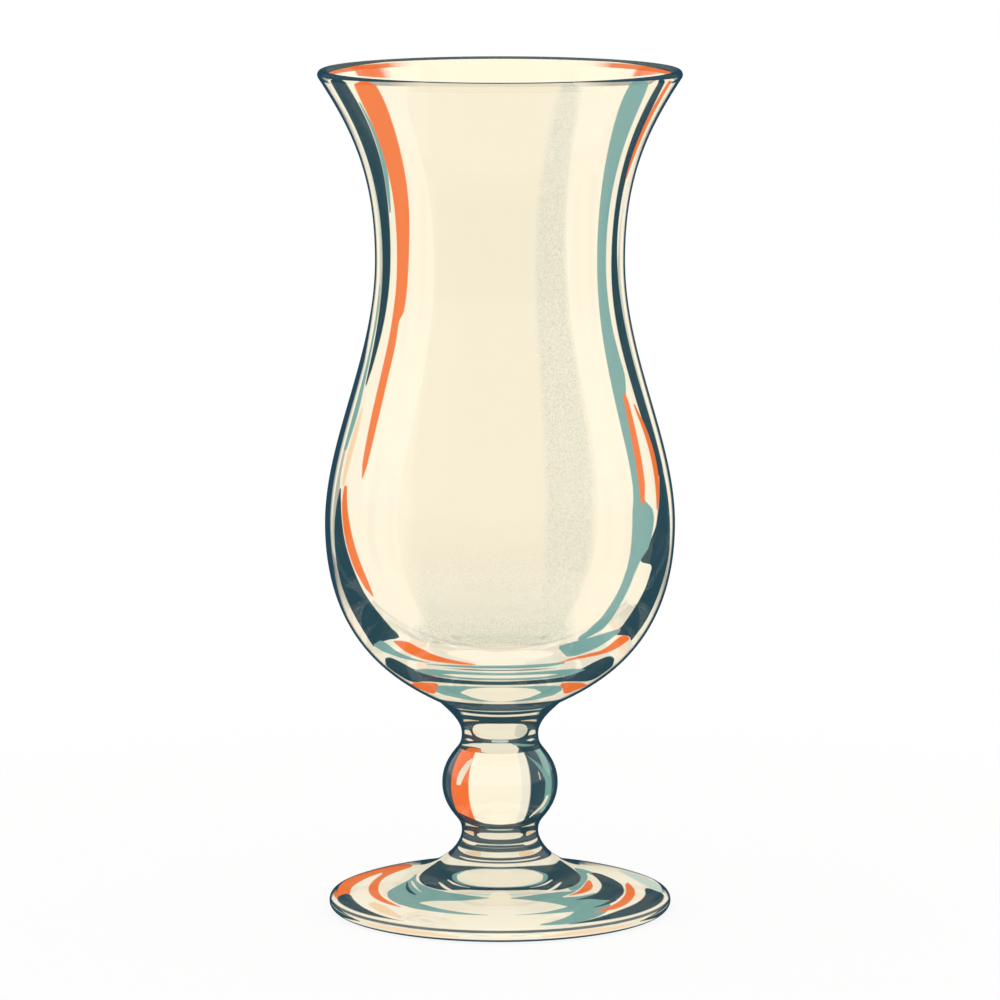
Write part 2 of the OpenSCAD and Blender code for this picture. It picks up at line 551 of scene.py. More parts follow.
# %% Noise and stipple
def noise(place, scale, detail):
    """Smooth noise at a place, about a half on average."""
    node = place.tree.nodes.new("ShaderNodeTexNoise")
    feed(node.inputs["Vector"], place)
    node.inputs["Scale"].default_value = scale
    node.inputs["Detail"].default_value = detail
    return Value(place.tree, node.outputs["Fac"])


def shade_dots(place, scale, level):
    """1 where fine noise is over a level, and 0 where it is under: stipple."""
    return held((noise(place, scale, 1.0) - level) * 12.0)


# %% One more painted colour
def laid(colour, share, here, hue, strength):
    """The painted reflection with one more colour on it: its colour and its share, where here is 1."""
    return blend(here, colour, hue), most(here * strength, share)


# %% [markdown]
# ## The painted colours
#
# The painted reflection has few colours: deep blue-green for painted dark reflection, cream for
# painted light coming through and painted highlights, orange and teal for painted coloured
# reflections, with paler mixes of them where the picture's lines thin out. They are kept apart from
# the studio's cards, because a painted colour is lit by the room and a card isn't.

# %% Painted colours
# Each of these is painted reflection, painted highlight or painted shade on the glass, not a colour the
# glass has.
DARK_PAINTED_REFLECTION = linear(0.17, 0.29, 0.33)
CREAM_PAINTED_LIGHT = linear(1.0, 0.965, 0.867)
PEACH = linear(0.99, 0.86, 0.70)
PALE_TEAL = linear(0.80, 0.87, 0.82)
GREY_CREAM = linear(0.87, 0.87, 0.78)
PAINTED_SHADE_STIPPLE = linear(0.80, 0.82, 0.75)
FIELD_CREAM = linear(0.965, 0.925, 0.815)
DEEP = linear(0.15, 0.28, 0.35)
ORANGE_PAINTED_REFLECTION = linear(0.97, 0.48, 0.22)
TEAL_PAINTED_REFLECTION = linear(0.50, 0.675, 0.65)
print("Ten inks")

# %% [markdown]
# ## The foot's streaks
#
# A foot is spun flat while it is hot, so what it reflects is drawn out into crescents round its
# middle, and its cone shows a dark ring with a bright window in front. Here these reflections are
# painted on: each painted shape runs between two distances from the axis that follow the turn from
# the front. The back has a few painted reflections of its own.

# %% The foot's cone
CONE_PAIRS = [
    # painted colour, points: the turn from the front on either side, then the distance at the two edges
    (DARK_PAINTED_REFLECTION, [(-30, 12.9, 21.3), (20, 13, 21.5), (30, 13.1, 22.6), (36, 13.2, 23.4), (50, 13.6, 22.9),
        (60, 14, 22), (70, 14.1, 20.6), (77, 14, 19), (83, 14, 16.6), (86, 14.4, 15)]),
    (TEAL_PAINTED_REFLECTION, [(-30, 13.3, 20.3), (15, 13.4, 20.2), (25, 13.7, 19.8), (32, 14.2, 19.2), (38, 15, 18.3),
        (42, 16, 17)]),
    (CREAM_PAINTED_LIGHT, [(-30, 13.5, 20.1), (15, 13.6, 19.9), (25, 13.9, 19.3), (33, 14.6, 18.3),
        (36, 15.2, 17.4), (38, 16, 16.6)]),
    (CREAM_PAINTED_LIGHT, [(20, 20.4, 20.7), (27, 20, 20.5), (35, 19, 19.9), (42, 18.1, 18.6)]),
    (CREAM_PAINTED_LIGHT, [(-30, 21.5, 21.9), (15, 21.5, 21.9), (24, 21.8, 22.1)]),
    (CREAM_PAINTED_LIGHT, [(20, 23.3, 23.6), (27, 22.8, 23.3), (34, 21.6, 22.7), (40, 20.5, 21.6),
        (46, 19.7, 20.2)]),
    (PALE_TEAL, [(-30, 22.9, 23.9), (15, 22.9, 23.7), (24, 23.2, 23.5)]),
    (CREAM_PAINTED_LIGHT, [(-30, 21.5, 25.4), (2, 21.5, 25.4), (4, 22.2, 25), (6, 23.6, 24.4)]),
]

# %% The foot's front
FOOT_FRONT = [
    # painted colour, points: the turn from the front, then the distance at the two edges
    (TEAL_PAINTED_REFLECTION, [(-78, 20, 20.6), (-72, 20.8, 22.4), (-68, 21.4, 26), (-64, 21.8, 29.8), (-56, 22.4, 32),
        (-46, 23, 33.6), (-40, 23.2, 34), (-37, 23.3, 30), (-30, 23.6, 28.5), (-20, 23.9, 27.6),
        (-12, 24.4, 26.2), (-6, 25, 25.4)]),
    (TEAL_PAINTED_REFLECTION, [(-44, 30.5, 33.6), (-36, 31, 34.2), (-26, 32.3, 34.4), (-15, 33.5, 34.7),
        (-5, 34.2, 34.6)]),
    (TEAL_PAINTED_REFLECTION, [(6, 25, 25.4), (15, 24.2, 26.8), (22, 23.8, 28.4), (28, 23.7, 30.6), (33, 23.7, 34.5),
        (38, 24, 37.8), (43, 24.5, 37), (48, 25, 35), (51, 26, 33.3), (53, 27, 31)]),
    (TEAL_PAINTED_REFLECTION, [(14, 38.9, 39.5), (20, 37.9, 39.8), (27, 36.2, 39.7), (33, 33, 39), (40, 31, 37.7),
        (44, 31, 36.8)]),
    (TEAL_PAINTED_REFLECTION, [(6, 34.2, 34.5), (18, 33.6, 34.6), (28, 32, 34.8), (34, 31, 35)]),
    (TEAL_PAINTED_REFLECTION, [(44, 22.8, 25), (52, 22.6, 24.8), (60, 21.7, 23.6), (68, 20.6, 22.4), (76, 19, 21.8),
        (83, 17.4, 22), (88, 18, 22.6), (92, 20, 22)]),
    (CREAM_PAINTED_LIGHT, [(-68, 22.3, 22.8), (-60, 23.1, 24), (-52, 24.5, 25.1), (-46, 25.6, 25.9)]),
    (DARK_PAINTED_REFLECTION, [(-69, 23.2, 23.6), (-62, 24.4, 25.5), (-55, 25.8, 26.9), (-50, 26.5, 27.6),
        (-46, 27.3, 27.8)]),
    (CREAM_PAINTED_LIGHT, [(34, 26.3, 26.9), (42, 25.6, 27.9), (50, 24.2, 28), (58, 23.1, 27.6), (66, 22.2, 26.6),
        (74, 21.6, 24.8), (80, 20.8, 22.8), (84, 20.6, 21.4)]),
    (ORANGE_PAINTED_REFLECTION, [(38, 26.4, 26.7), (48, 24.9, 26.8), (56, 23.6, 26.2), (63, 22.6, 24.9),
        (69, 22.2, 23)]),
    (DARK_PAINTED_REFLECTION, [(38, 28.9, 29.3), (45, 28.6, 29.9), (50, 28.3, 32), (54, 28, 33.6), (60, 27.2, 33),
        (70, 25.6, 31.5), (80, 22.9, 29.4), (87, 21.2, 27), (92, 22.4, 24.4)]),
    (DARK_PAINTED_REFLECTION, [(40, 34, 34.4), (48, 33.2, 34.4), (56, 31.8, 33.5)]),
    (ORANGE_PAINTED_REFLECTION, [(38, 36.2, 36.6), (45, 35.2, 36.9), (52, 34.4, 36.6), (60, 33.3, 35.7),
        (70, 31.6, 34.1), (78, 30.2, 32.7), (83, 29.9, 31.3), (86, 30.4, 30.8)]),
    (DARK_PAINTED_REFLECTION, [(24, 39.6, 39.9), (35, 38.6, 40), (45, 37.5, 40.1), (55, 36.9, 40.1), (65, 36.5, 40.1),
        (75, 35.6, 40), (82, 34.4, 39.6), (85, 35, 38.8)]),
    (PALE_TEAL, [(85, 36.4, 39), (90, 33.6, 39.5), (97, 31.8, 39.2), (105, 30.8, 37.5),
        (115, 30.6, 33)]),
    (ORANGE_PAINTED_REFLECTION, [(-126, 27, 30), (-120, 24.2, 33), (-114, 22.9, 33), (-108, 21.8, 30.5),
        (-104, 23.6, 28.9), (-98, 25.8, 29.2), (-90, 27.7, 30.2), (-80, 28.9, 31.8), (-70, 30.5, 33.1),
        (-60, 32.1, 34.1), (-50, 33.2, 34.6), (-43, 34.2, 34.7)]),
    (ORANGE_PAINTED_REFLECTION, [(-128, 28, 33), (-120, 28, 36), (-112, 28, 38.2), (-107, 29.3, 39),
        (-100, 31.5, 39.6), (-90, 34.6, 39.9), (-84, 35.6, 39.9), (-78, 36.2, 39.8), (-76, 37, 39.3)]),
    (DARK_PAINTED_REFLECTION, [(-79.5, 37, 39.4), (-76, 36.3, 39.9), (-70, 36.8, 40), (-60, 37.8, 40.1), (-50, 38.7, 40.1),
        (-42, 39.3, 40), (-34, 39.7, 39.9)]),
    (PEACH, [(-58, 34.9, 36.6), (-50, 35.1, 38.2), (-43, 36.5, 38.8), (-37, 38.2, 39)]),
]

# %% The foot's back and its edge
FOOT_BACK = [
    # painted colour, points: the turn from the back, then the distance at the two edges
    (TEAL_PAINTED_REFLECTION, [(-60, 23, 24), (-45, 22, 26.4), (-15, 22.6, 25), (0, 23, 24.6), (20, 22.4, 26),
        (42, 22, 27.4), (56, 24, 26)]),
    (ORANGE_PAINTED_REFLECTION, [(-46, 32.8, 33.2), (-34, 30.6, 32.8), (-20, 29.4, 31.6), (-8, 29.6, 30.4)]),
    (DARK_PAINTED_REFLECTION, [(12, 29.6, 30), (22, 28, 31.2), (34, 27.2, 31.4), (44, 28.2, 29.8)]),
]
EDGE_PAIRS = [
    # painted colour, points: the turn from the front on either side, then the height at the two edges
    (PEACH, [(14, 1.2, 1.5), (24, 1, 2.1), (38, 1, 2.1), (50, 1.3, 1.6)]),
    (DARK_PAINTED_REFLECTION, [(54, 1.5, 1.7), (62, 1.1, 2.2), (72, 0.4, 2.8), (80, 0, 3), (90, 0, 3.1)]),
    (CREAM_PAINTED_LIGHT, [(60, 1.75, 1.9), (70, 1.9, 2.15), (80, 2.2, 2.4), (88, 2.5, 2.6)]),
]


# %% Painted reflection on the foot
FOOT_CREAM_SHARE, FOOT_REFLECTION_SHARE, LINE_SHARE = 0.82, 0.95, 0.9
FOOT_SOFT, LINE_SOFT = 0.25, 0.15
EDGE_FROM, UNDERSIDE_FROM, PRINT_FROM_Z = 39, 38, 0.7
# Height of the middle of each fine line, and half its width
UPPER_LINE, LOWER_LINE = (2.7, 0.3), (0.2, 0.55)


def foot_painted_reflection(place, spread, height):
    """The colour and the share of the painted reflection on the foot: painted cream light over its
    upper side, the cone's painted dark ring, the painted crescents, and round the edge two fine
    painted dark lines with a dark end on either side."""
    either = abs(front_turn(place))
    colour, share = CREAM_PAINTED_LIGHT, FOOT_CREAM_SHARE
    for side, shapes in ((turn_from(place, BACK), FOOT_BACK), (turn_from(place, FRONT), FOOT_FRONT),
                         (either, CONE_PAIRS)):
        for hue, points in shapes:
            here = patch(side, spread, points, FOOT_SOFT)
            colour, share = laid(colour, share, here, hue, FOOT_REFLECTION_SHARE)
    at_edge = spread > EDGE_FROM
    for hue, points in EDGE_PAIRS:
        here = patch(either, height, points, LINE_SOFT) * at_edge
        colour, share = laid(colour, share, here, hue, FOOT_REFLECTION_SHARE)
    share = share * (height > PRINT_FROM_Z)
    upper_line = mask(height, *UPPER_LINE, LINE_SOFT) * at_edge
    lower_line = mask(height, *LOWER_LINE, LINE_SOFT) * (spread > UNDERSIDE_FROM)
    line = most(upper_line * LINE_SHARE, lower_line)
    return blend(line, colour, DARK_PAINTED_REFLECTION), most(share, line)


# %% [markdown]
# ## The stem's rings
#
# A spool is a hollow curve that squeezes the whole room into a few millimetres, so it shows dark
# rings with one bright window between them, the same on the left and on the right. Here they are
# painted on as painted reflection. The ball is left mostly clear, because as a lens it already
# draws its own bands, and gets only its painted highlights, a painted teal streak and a painted
# dark lower end.

# %% The stem's shapes
SPOOL_PAIRS = [
    # painted colour, points: the turn from the front on either side, then the height at the two edges
    (CREAM_PAINTED_LIGHT, [(-30, 48.2, 48.95), (30, 48.25, 49), (50, 48.1, 49.25), (61, 47.6, 48)]),
    (PALE_TEAL, [(-30, 49.7, 50.2), (12, 49.7, 50.15), (35, 49.75, 50), (48, 49.4, 50.3),
        (54, 49.1, 49.3)]),
    (PEACH, [(26, 46.8, 47.05), (40, 46.5, 47.1), (55, 45.9, 46.65), (68, 45.2, 45.45)]),
    (CREAM_PAINTED_LIGHT, [(-30, 42.1, 46.5), (15, 42.1, 46.4), (30, 42.25, 46.05), (38, 42.6, 45.4),
        (42.5, 43.3, 44.4)]),
    (CREAM_PAINTED_LIGHT, [(75, 43.2, 44.4), (79, 42.3, 46), (90, 42.1, 46.4)]),
    (CREAM_PAINTED_LIGHT, [(47, 42.6, 42.9), (50, 42.6, 44.1), (58, 42.6, 43.95), (68, 42.55, 43.5),
        (73, 42.7, 42.9)]),
    (CREAM_PAINTED_LIGHT, [(44, 41.45, 41.6), (53, 41.0, 42.0), (63, 41.4, 41.55)]),
    (PALE_TEAL, [(-30, 41.4, 42.15), (11.5, 41.4, 42.15), (13, 41.7, 41.9)]),
    (CREAM_PAINTED_LIGHT, [(32, 20.9, 21.05), (45, 20.8, 21.35), (58, 20.7, 21.8), (63, 20.6, 21.2),
        (69, 20.4, 20.6)]),
    (PALE_TEAL, [(-30, 20.3, 20.8), (15, 20.3, 20.8), (20, 20.45, 20.6)]),
    (CREAM_PAINTED_LIGHT, [(-30, 18.05, 19.8), (15, 18.05, 19.8), (31, 18.2, 19.65), (36.5, 18.7, 19.2)]),
    (CREAM_PAINTED_LIGHT, [(76, 18.7, 19.2), (80, 18.2, 19.7), (90, 18.05, 19.8)]),
    (PEACH, [(43, 18.4, 19.6), (48, 18.5, 19.7), (60, 18.75, 19.55), (74, 18.9, 19.05)]),
    (CREAM_PAINTED_LIGHT, [(-30, 16.75, 17.0), (35, 16.75, 17.15), (38, 16.3, 17.2), (50, 16.35, 17.25),
        (65, 16.6, 17.4), (77, 17.1, 17.5)]),
    (PALE_TEAL, [(-30, 16.05, 16.35), (35, 16.15, 16.3)]),
    (CREAM_PAINTED_LIGHT, [(-30, 13.95, 15.4), (40, 14.1, 15.35), (60, 14.45, 15.35), (79, 15.1, 15.5)]),
    (PEACH, [(25, 14.1, 15.3), (35, 14.2, 15.35), (47, 14.3, 15.2), (49, 14.7, 14.9)]),
    (CREAM_PAINTED_LIGHT, [(-30, 13.3, 13.62), (40, 13.2, 13.68), (55, 13.5, 13.75)]),
]
SPOOL_STROKES = [
    # painted colour, points: the turn from the front, then the height at the two edges
    (CREAM_PAINTED_LIGHT, [(-74, 39.7, 39.9), (-57, 39.85, 40.5), (-45, 40.0, 40.95), (-29, 40.0, 41.25),
        (-26, 38.9, 41.3), (0, 38.9, 41.45), (14, 38.9, 41.4), (22, 38.9, 41.1), (25, 38.9, 40.6),
        (27, 39.5, 40.2)]),
    (TEAL_PAINTED_REFLECTION, [(18, 41, 41.3), (25, 40.5, 41.2), (40, 40.25, 40.85), (60, 39.95, 40.2)]),
    (ORANGE_PAINTED_REFLECTION, [(-54, 38.9, 39.2), (-50, 38.9, 39.8), (-40, 38.9, 39.95), (-29, 38.9, 39.9),
        (-26.5, 38.9, 39.3)]),
    (GREY_CREAM, [(22, 43, 45.8), (27, 42.3, 46), (35, 42.5, 45.6), (40, 43, 44.8), (42, 43.4, 44.2)]),
]
KNOP_BOTTOM = [(-30, 21.5, 21.9), (20, 21.5, 22.1), (35, 21.5, 23.3), (50, 21.5, 24.2), (75, 21.5, 25)]
KNOP_STROKES = [
    # painted colour, share, points: height, then the turn from the front at the two edges
    (TEAL_PAINTED_REFLECTION, 0.95, [(28.6, 53, 62), (31, 53, 63), (34, 49, 58), (36.5, 42, 50), (38.3, 35, 37)]),
    (CREAM_PAINTED_LIGHT, 0.9, [(23.4, 36, 38), (24.4, 37, 46), (26, 46, 55), (28.5, 53.5, 60)]),
    (CREAM_PAINTED_LIGHT, 0.9, [(31.4, -50, -42), (33, -50, -40), (35, -48, -36), (37, -42, -33),
        (37.6, -38, -35)]),
    (CREAM_PAINTED_LIGHT, 0.9, [(32.7, 43.5, 46.5), (34.5, 43, 46)]),
]


# %% Painted reflection on the stem
BALL_MIDDLE, BALL_HALF, BALL_SOFT, BALL_BOTTOM = 30.3, 8.7, 0.1, 21.6
STEM_REFLECTION_SHARE, RING_SOFT, GLINT_SOFT = 0.92, 0.15, 1.2


def stem_painted_reflection(place, spread, height):
    """The colour and the share of the painted reflection on the stem: painted dark reflection all
    over the two spools, with the pale painted light and coloured reflections on it, a painted dark
    lower end of the ball, and the ball's painted glints."""
    side = front_turn(place)
    either = abs(side)
    colour = DARK_PAINTED_REFLECTION
    for angle, shapes in ((either, SPOOL_PAIRS), (side, SPOOL_STROKES)):
        for hue, points in shapes:
            colour = blend(patch(angle, height, points, RING_SOFT), colour, hue)
    dark = patch(either, height, KNOP_BOTTOM, RING_SOFT)
    colour = blend(dark * (height > BALL_BOTTOM), colour, DARK_PAINTED_REFLECTION)
    spools = 1.0 - mask(height, BALL_MIDDLE, BALL_HALF, BALL_SOFT)
    share = most(spools, dark) * STEM_REFLECTION_SHARE
    for hue, strength, points in KNOP_STROKES:
        here = patch(height, side, points, GLINT_SOFT)
        colour, share = laid(colour, share, here, hue, strength)
    return colour, share


# %% [markdown]
# ## The bowl's streaks
#
# The long streaks are painted reflections that follow the bowl's outline: navy by the edge, then
# orange on the left and teal on the right, and a short bright patch low on the right. Each is given
# by its height in millimetres and by the degrees from the front at its two edges, so it narrows and
# swells as the drawn one does. The solid floor has short bands of painted reflection instead, which
# run level.

# %% The wall's streaks
WALL_STROKES = [
    # painted colour, points: height, then the turn from the front at the two edges
    (CREAM_PAINTED_LIGHT, [(79, -52, -46), (85, -57, -48), (92, -62, -52), (100, -67, -53), (106, -70, -52),
        (128, -71, -51), (140, -70, -50), (160, -69, -44), (180, -70, -42), (198.6, -72, -41)]),
    (CREAM_PAINTED_LIGHT, [(78, 46, 58), (82, 49, 60), (86.8, 52, 62), (90, 54, 60), (99, 54, 64), (106, 52, 70),
        (122, 54, 69), (140, 55, 68), (160, 54, 70), (180, 53, 72), (198.6, 52, 73)]),
    (PEACH, [(104, -67, -64.5), (112, -67.5, -62.5), (118, -66.5, -62.5), (122, -65, -63.5)]),
    (TEAL_PAINTED_REFLECTION, [(112, -72, -69), (120, -72.5, -66), (128, -72.5, -68), (140, -72.5, -70),
        (150, -73, -71)]),
    (TEAL_PAINTED_REFLECTION, [(176, -60.5, -58.5), (182, -58.5, -56), (190, -58, -54.5), (198.6, -57.5, -55)]),
    (DARK_PAINTED_REFLECTION, [(66, -60.6, -60), (67.2, -61, -56), (69, -61.5, -44), (70, -62, -38), (72, -63, -41.5),
        (76, -66, -47), (80, -68, -52), (85, -69.5, -56), (90, -70, -60), (95, -70, -62.5),
        (100, -69, -65), (103, -68, -66.5)]),
    (DARK_PAINTED_REFLECTION, [(67.5, 60.5, 62), (69, 57, 64), (70, 45, 65), (72, 49, 67), (76, 53, 69.5), (80, 57, 71.5),
        (84, 59, 74), (86, 60, 74.5), (87, 52, 75), (88.5, 51.5, 75), (92, 58, 75), (95, 61.5, 75),
        (99, 64, 75), (106, 69, 75)]),
    (DARK_PAINTED_REFLECTION, [(127.5, -67.6, -65.5), (131, -68, -64.6), (140, -69, -62), (150, -69.3, -60.3),
        (160, -69, -59.3), (170, -69.3, -58.3), (180, -69, -55.6), (190, -67.5, -54.4),
        (198.8, -67.5, -55)]),
    (TEAL_PAINTED_REFLECTION, [(168, -58.6, -56.8), (175, -57.6, -53.8), (182, -55.6, -51.3), (188, -54.8, -52),
        (194, -54.8, -53.2)]),
    (DARK_PAINTED_REFLECTION, [(106, 67.5, 75), (110, 67, 75), (120, 65, 74.5), (130, 63.5, 73), (140, 61.8, 72),
        (150, 61.3, 70), (160, 61.5, 67.8), (170, 61.5, 67.5), (180, 60.3, 67.5), (190, 58.5, 66),
        (198.8, 57.5, 63)]),
    (TEAL_PAINTED_REFLECTION, [(70.5, 28, 34), (72, 32, 40.5), (75, 37, 43), (80, 42, 47.5), (85, 45, 50.5),
        (88, 46, 53), (90, 46.5, 57), (95, 47.5, 60.5), (99, 48, 61.5), (101.5, 49, 55),
        (105, 50, 55.5), (112, 50, 55.5), (117, 49.7, 55.5), (124, 49.5, 56.5), (129, 49.5, 61.5),
        (133, 49.5, 60.5), (140, 49.5, 58.5), (150, 49.8, 57.5), (160, 49.5, 57), (170, 48.8, 57),
        (180, 47, 56.8), (190, 44, 55.5), (198.6, 42, 54)]),
    (ORANGE_PAINTED_REFLECTION, [(107, -54.3, -53), (110, -55.5, -51.6), (120, -56.6, -51), (130, -56.9, -51),
        (138, -56, -49.6), (143, -55.8, -50.6), (145, -55.7, -47), (150, -55.2, -46.6),
        (160, -54.6, -45.4), (170, -53.8, -43), (180, -53.3, -41.8), (190, -52.8, -40.7),
        (198.6, -53, -39.6)]),
    (ORANGE_PAINTED_REFLECTION, [(79.4, -48, -47), (81, -51, -47.2), (85, -56, -50), (90, -60, -54), (95, -62.7, -57),
        (100, -65, -60.5), (104, -65, -62)]),
    (ORANGE_PAINTED_REFLECTION, [(100.8, 53, 55.6), (105, 53.2, 57.8), (115, 54.2, 59), (124, 55.3, 59.2),
        (126, 55.6, 57.6)]),
    (ORANGE_PAINTED_REFLECTION, [(98.6, 62.5, 64), (101, 63, 66.2), (106, 64.4, 69), (112, 65, 69.6),
        (118, 63.6, 67.4), (123, 60.8, 62.6)]),
    (ORANGE_PAINTED_REFLECTION, [(175.5, 66.4, 68), (180, 66, 70), (185, 65.6, 70.4), (190, 65, 69.8),
        (198.4, 64.5, 69)]),
    (CREAM_PAINTED_LIGHT, [(58, 74, 80), (80, 75.5, 81), (115, 75.5, 81), (135, 74, 79.5), (160, 73, 78.5),
        (185, 74.5, 79), (198.6, 76, 80)]),
    (CREAM_PAINTED_LIGHT, [(58, -80, -73), (80, -77, -72), (95, -76, -71.6), (120, -75.5, -71.2),
        (135, -76, -71.5), (150, -78.5, -73), (185, -79, -73.5), (198.6, -80, -74.5)]),
]

# %% The bands round the solid floor
BASE_STROKES = [
    # painted colour, points: the turn from the front, then the height at the two edges
    (DARK_PAINTED_REFLECTION, [(-62, 60, 61), (-57, 57.5, 63.5), (-50, 57, 64.4), (-42, 58, 62), (-30, 58.6, 60),
        (0, 58.4, 59.7), (30, 58.6, 60.2), (36, 58.4, 61.5), (42, 58, 63.3), (50, 57.4, 65),
        (57, 57.5, 63.2), (61, 60, 61)]),
    (TEAL_PAINTED_REFLECTION, [(-41, 61.2, 61.4), (-34, 60.2, 62.5), (-22, 60, 62.4), (0, 59.8, 62.2), (22, 60, 62.4),
        (34, 60.2, 62.5), (40, 61.4, 61.6)]),
    (CREAM_PAINTED_LIGHT, [(-26, 61, 61.2), (-20, 60.5, 61.6), (0, 60.4, 61.5), (20, 60.5, 61.6),
        (26, 61, 61.2)]),
    (DARK_PAINTED_REFLECTION, [(-24, 62.9, 63.1), (-12, 62.5, 63.1), (12, 62.5, 63.1), (24, 62.9, 63.1)]),
    (TEAL_PAINTED_REFLECTION, [(-32, 63.4, 63.7), (-20, 63.2, 64.1), (0, 63.2, 64.3), (20, 63.2, 64.4),
        (27, 63.9, 64.6)]),
    (TEAL_PAINTED_REFLECTION, [(-59, 66, 66.6), (-55, 65, 67.4), (-50, 64.7, 69), (-45, 64.2, 66), (-38, 63.9, 65),
        (-30, 63.8, 64)]),
    (TEAL_PAINTED_REFLECTION, [(22.6, 68.5, 69), (27, 65, 69.6), (33, 66, 70.2), (40, 67, 71), (45, 68.7, 71.4),
        (49, 70.4, 71.6)]),
    (ORANGE_PAINTED_REFLECTION, [(-43.5, 68.3, 68.9), (-41, 66.6, 69.2), (-37, 65.4, 69.4), (-33, 64.8, 68.4),
        (-26, 64.3, 66.2), (-18, 64.1, 65.3), (-10, 64, 64.5)]),
    (ORANGE_PAINTED_REFLECTION, [(24, 64.1, 64.3), (30, 64.6, 65.6), (42, 65.1, 66.4), (46, 65.2, 67),
        (50, 65.4, 69.6), (55, 66.4, 69.4), (58.5, 67.6, 68.2)]),
    (TEAL_PAINTED_REFLECTION, [(-42, 55.8, 56), (-36, 54.4, 57.6), (-20, 53.4, 58.2), (0, 53, 58.3), (22, 53.4, 58.2),
        (34, 54.4, 57.6), (36, 55.8, 56)]),
    (CREAM_PAINTED_LIGHT, [(-22, 55.8, 56), (-17, 54.4, 57.4), (-8, 53.4, 58), (0, 53.2, 58.1), (8, 53.4, 58),
        (18, 54.3, 57.4), (23, 55.8, 56)]),
    (ORANGE_PAINTED_REFLECTION, [(-58, 56, 56.2), (-52, 54.6, 57.2), (-44, 54, 58), (-38, 55.6, 58.3),
        (-33, 57.6, 58.4)]),
    (ORANGE_PAINTED_REFLECTION, [(32, 57.6, 58.6), (37, 55.8, 58.3), (43, 54, 58), (50, 54.8, 57.2), (56, 56, 56.2)]),
]

# %% [markdown]
# ## The pale field
#
# Down the middle of the bowl the picture has a quiet field, a shade darker than the cream beside
# it, with fine grey stipple low down and along its right side. The field is painted light seen
# through the glass, and the stipple is painted shade, which fine noise with a limit gives.

# %% The field and its stipple
# points: height, then the turn from the front at the two edges
FIELD = [(69.4, -22, 20), (76, -28, 24), (85, -33, 30), (92, -35, 33), (100, -36, 34.5),
    (115, -35.5, 36), (130, -33, 35), (150, -31.5, 33), (170, -32, 30.5), (185, -33, 29),
    (199.5, -34, 27)]
LOWER_STIPPLE = [(69.4, -34, 22), (71, -38, 30), (75, -28, 27), (80, -31, 25), (96, -34, 26)]
RIGHT_STIPPLE = [(76, 10, 25), (90, 13, 32), (115, 15, 36), (140, 15, 34), (170, 15, 30.5),
    (190, 16.5, 28.5), (199, 17, 27)]


# %% The outer side of a wall
def outer_side(place):
    """1 where the surface faces away from the axis: the sign of the normal's share along the way
    out from the axis. A ray inside the glass meets the surface from behind, where it is turned."""
    facing = place.tree.nodes.new("ShaderNodeNewGeometry")
    way_out = vector(place, "MULTIPLY", (1, 1, 0))
    outward = vector(way_out, "DOT_PRODUCT", Value(place.tree, facing.outputs["Normal"]), "Value")
    return abs((outward > 0.0) - Value(place.tree, facing.outputs["Backfacing"]))


# %% Painted reflection on the bowl
BOWL_REFLECTION_SHARE, BOWL_CREAM_SHARE, BASE_CREAM_SHARE = 0.94, 0.45, 0.8
DOT_SHARE, SHADE_SHARE, RING_SHARE = 0.85, 0.4, 0.92
WALL_SOFT, BASE_SOFT, FIELD_SOFT, LOWER_SOFT, RIGHT_SOFT = 0.6, 0.25, 1.0, 6.0, 2.5
SHADE_DOT_SCALE, SHADE_DOT_LEVEL, SHADE_DOT_SHARE = 2600.0, 0.48, 0.8
BASE_CREAM_FROM, BASE_CREAM_OVER, STIPPLE_FROM, STIPPLE_OVER = 90.0, 16.0, 96.0, 18.0
COLLAR, COLLAR_SOFT = (51.3, 1.3), 0.2
LIP_TOP, LIP_PALE_FROM, LIP_PALE_SHARE, LIP_SOFT, LIP_DEPTH = 199.78, 197.7, 0.85, 0.06, 0.5
LIP_ENDS_FROM, LIP_ENDS_OVER, LIP_ENDS, LIP_BEHIND = 25.0, 45.0, 1.8, 0.75
WARM_LIP, WARM_SOFT, WARM_FROM, WARM_OVER, WARM_SHARE = (198.7, 0.55), 0.15, 30.0, 12.0, 0.9


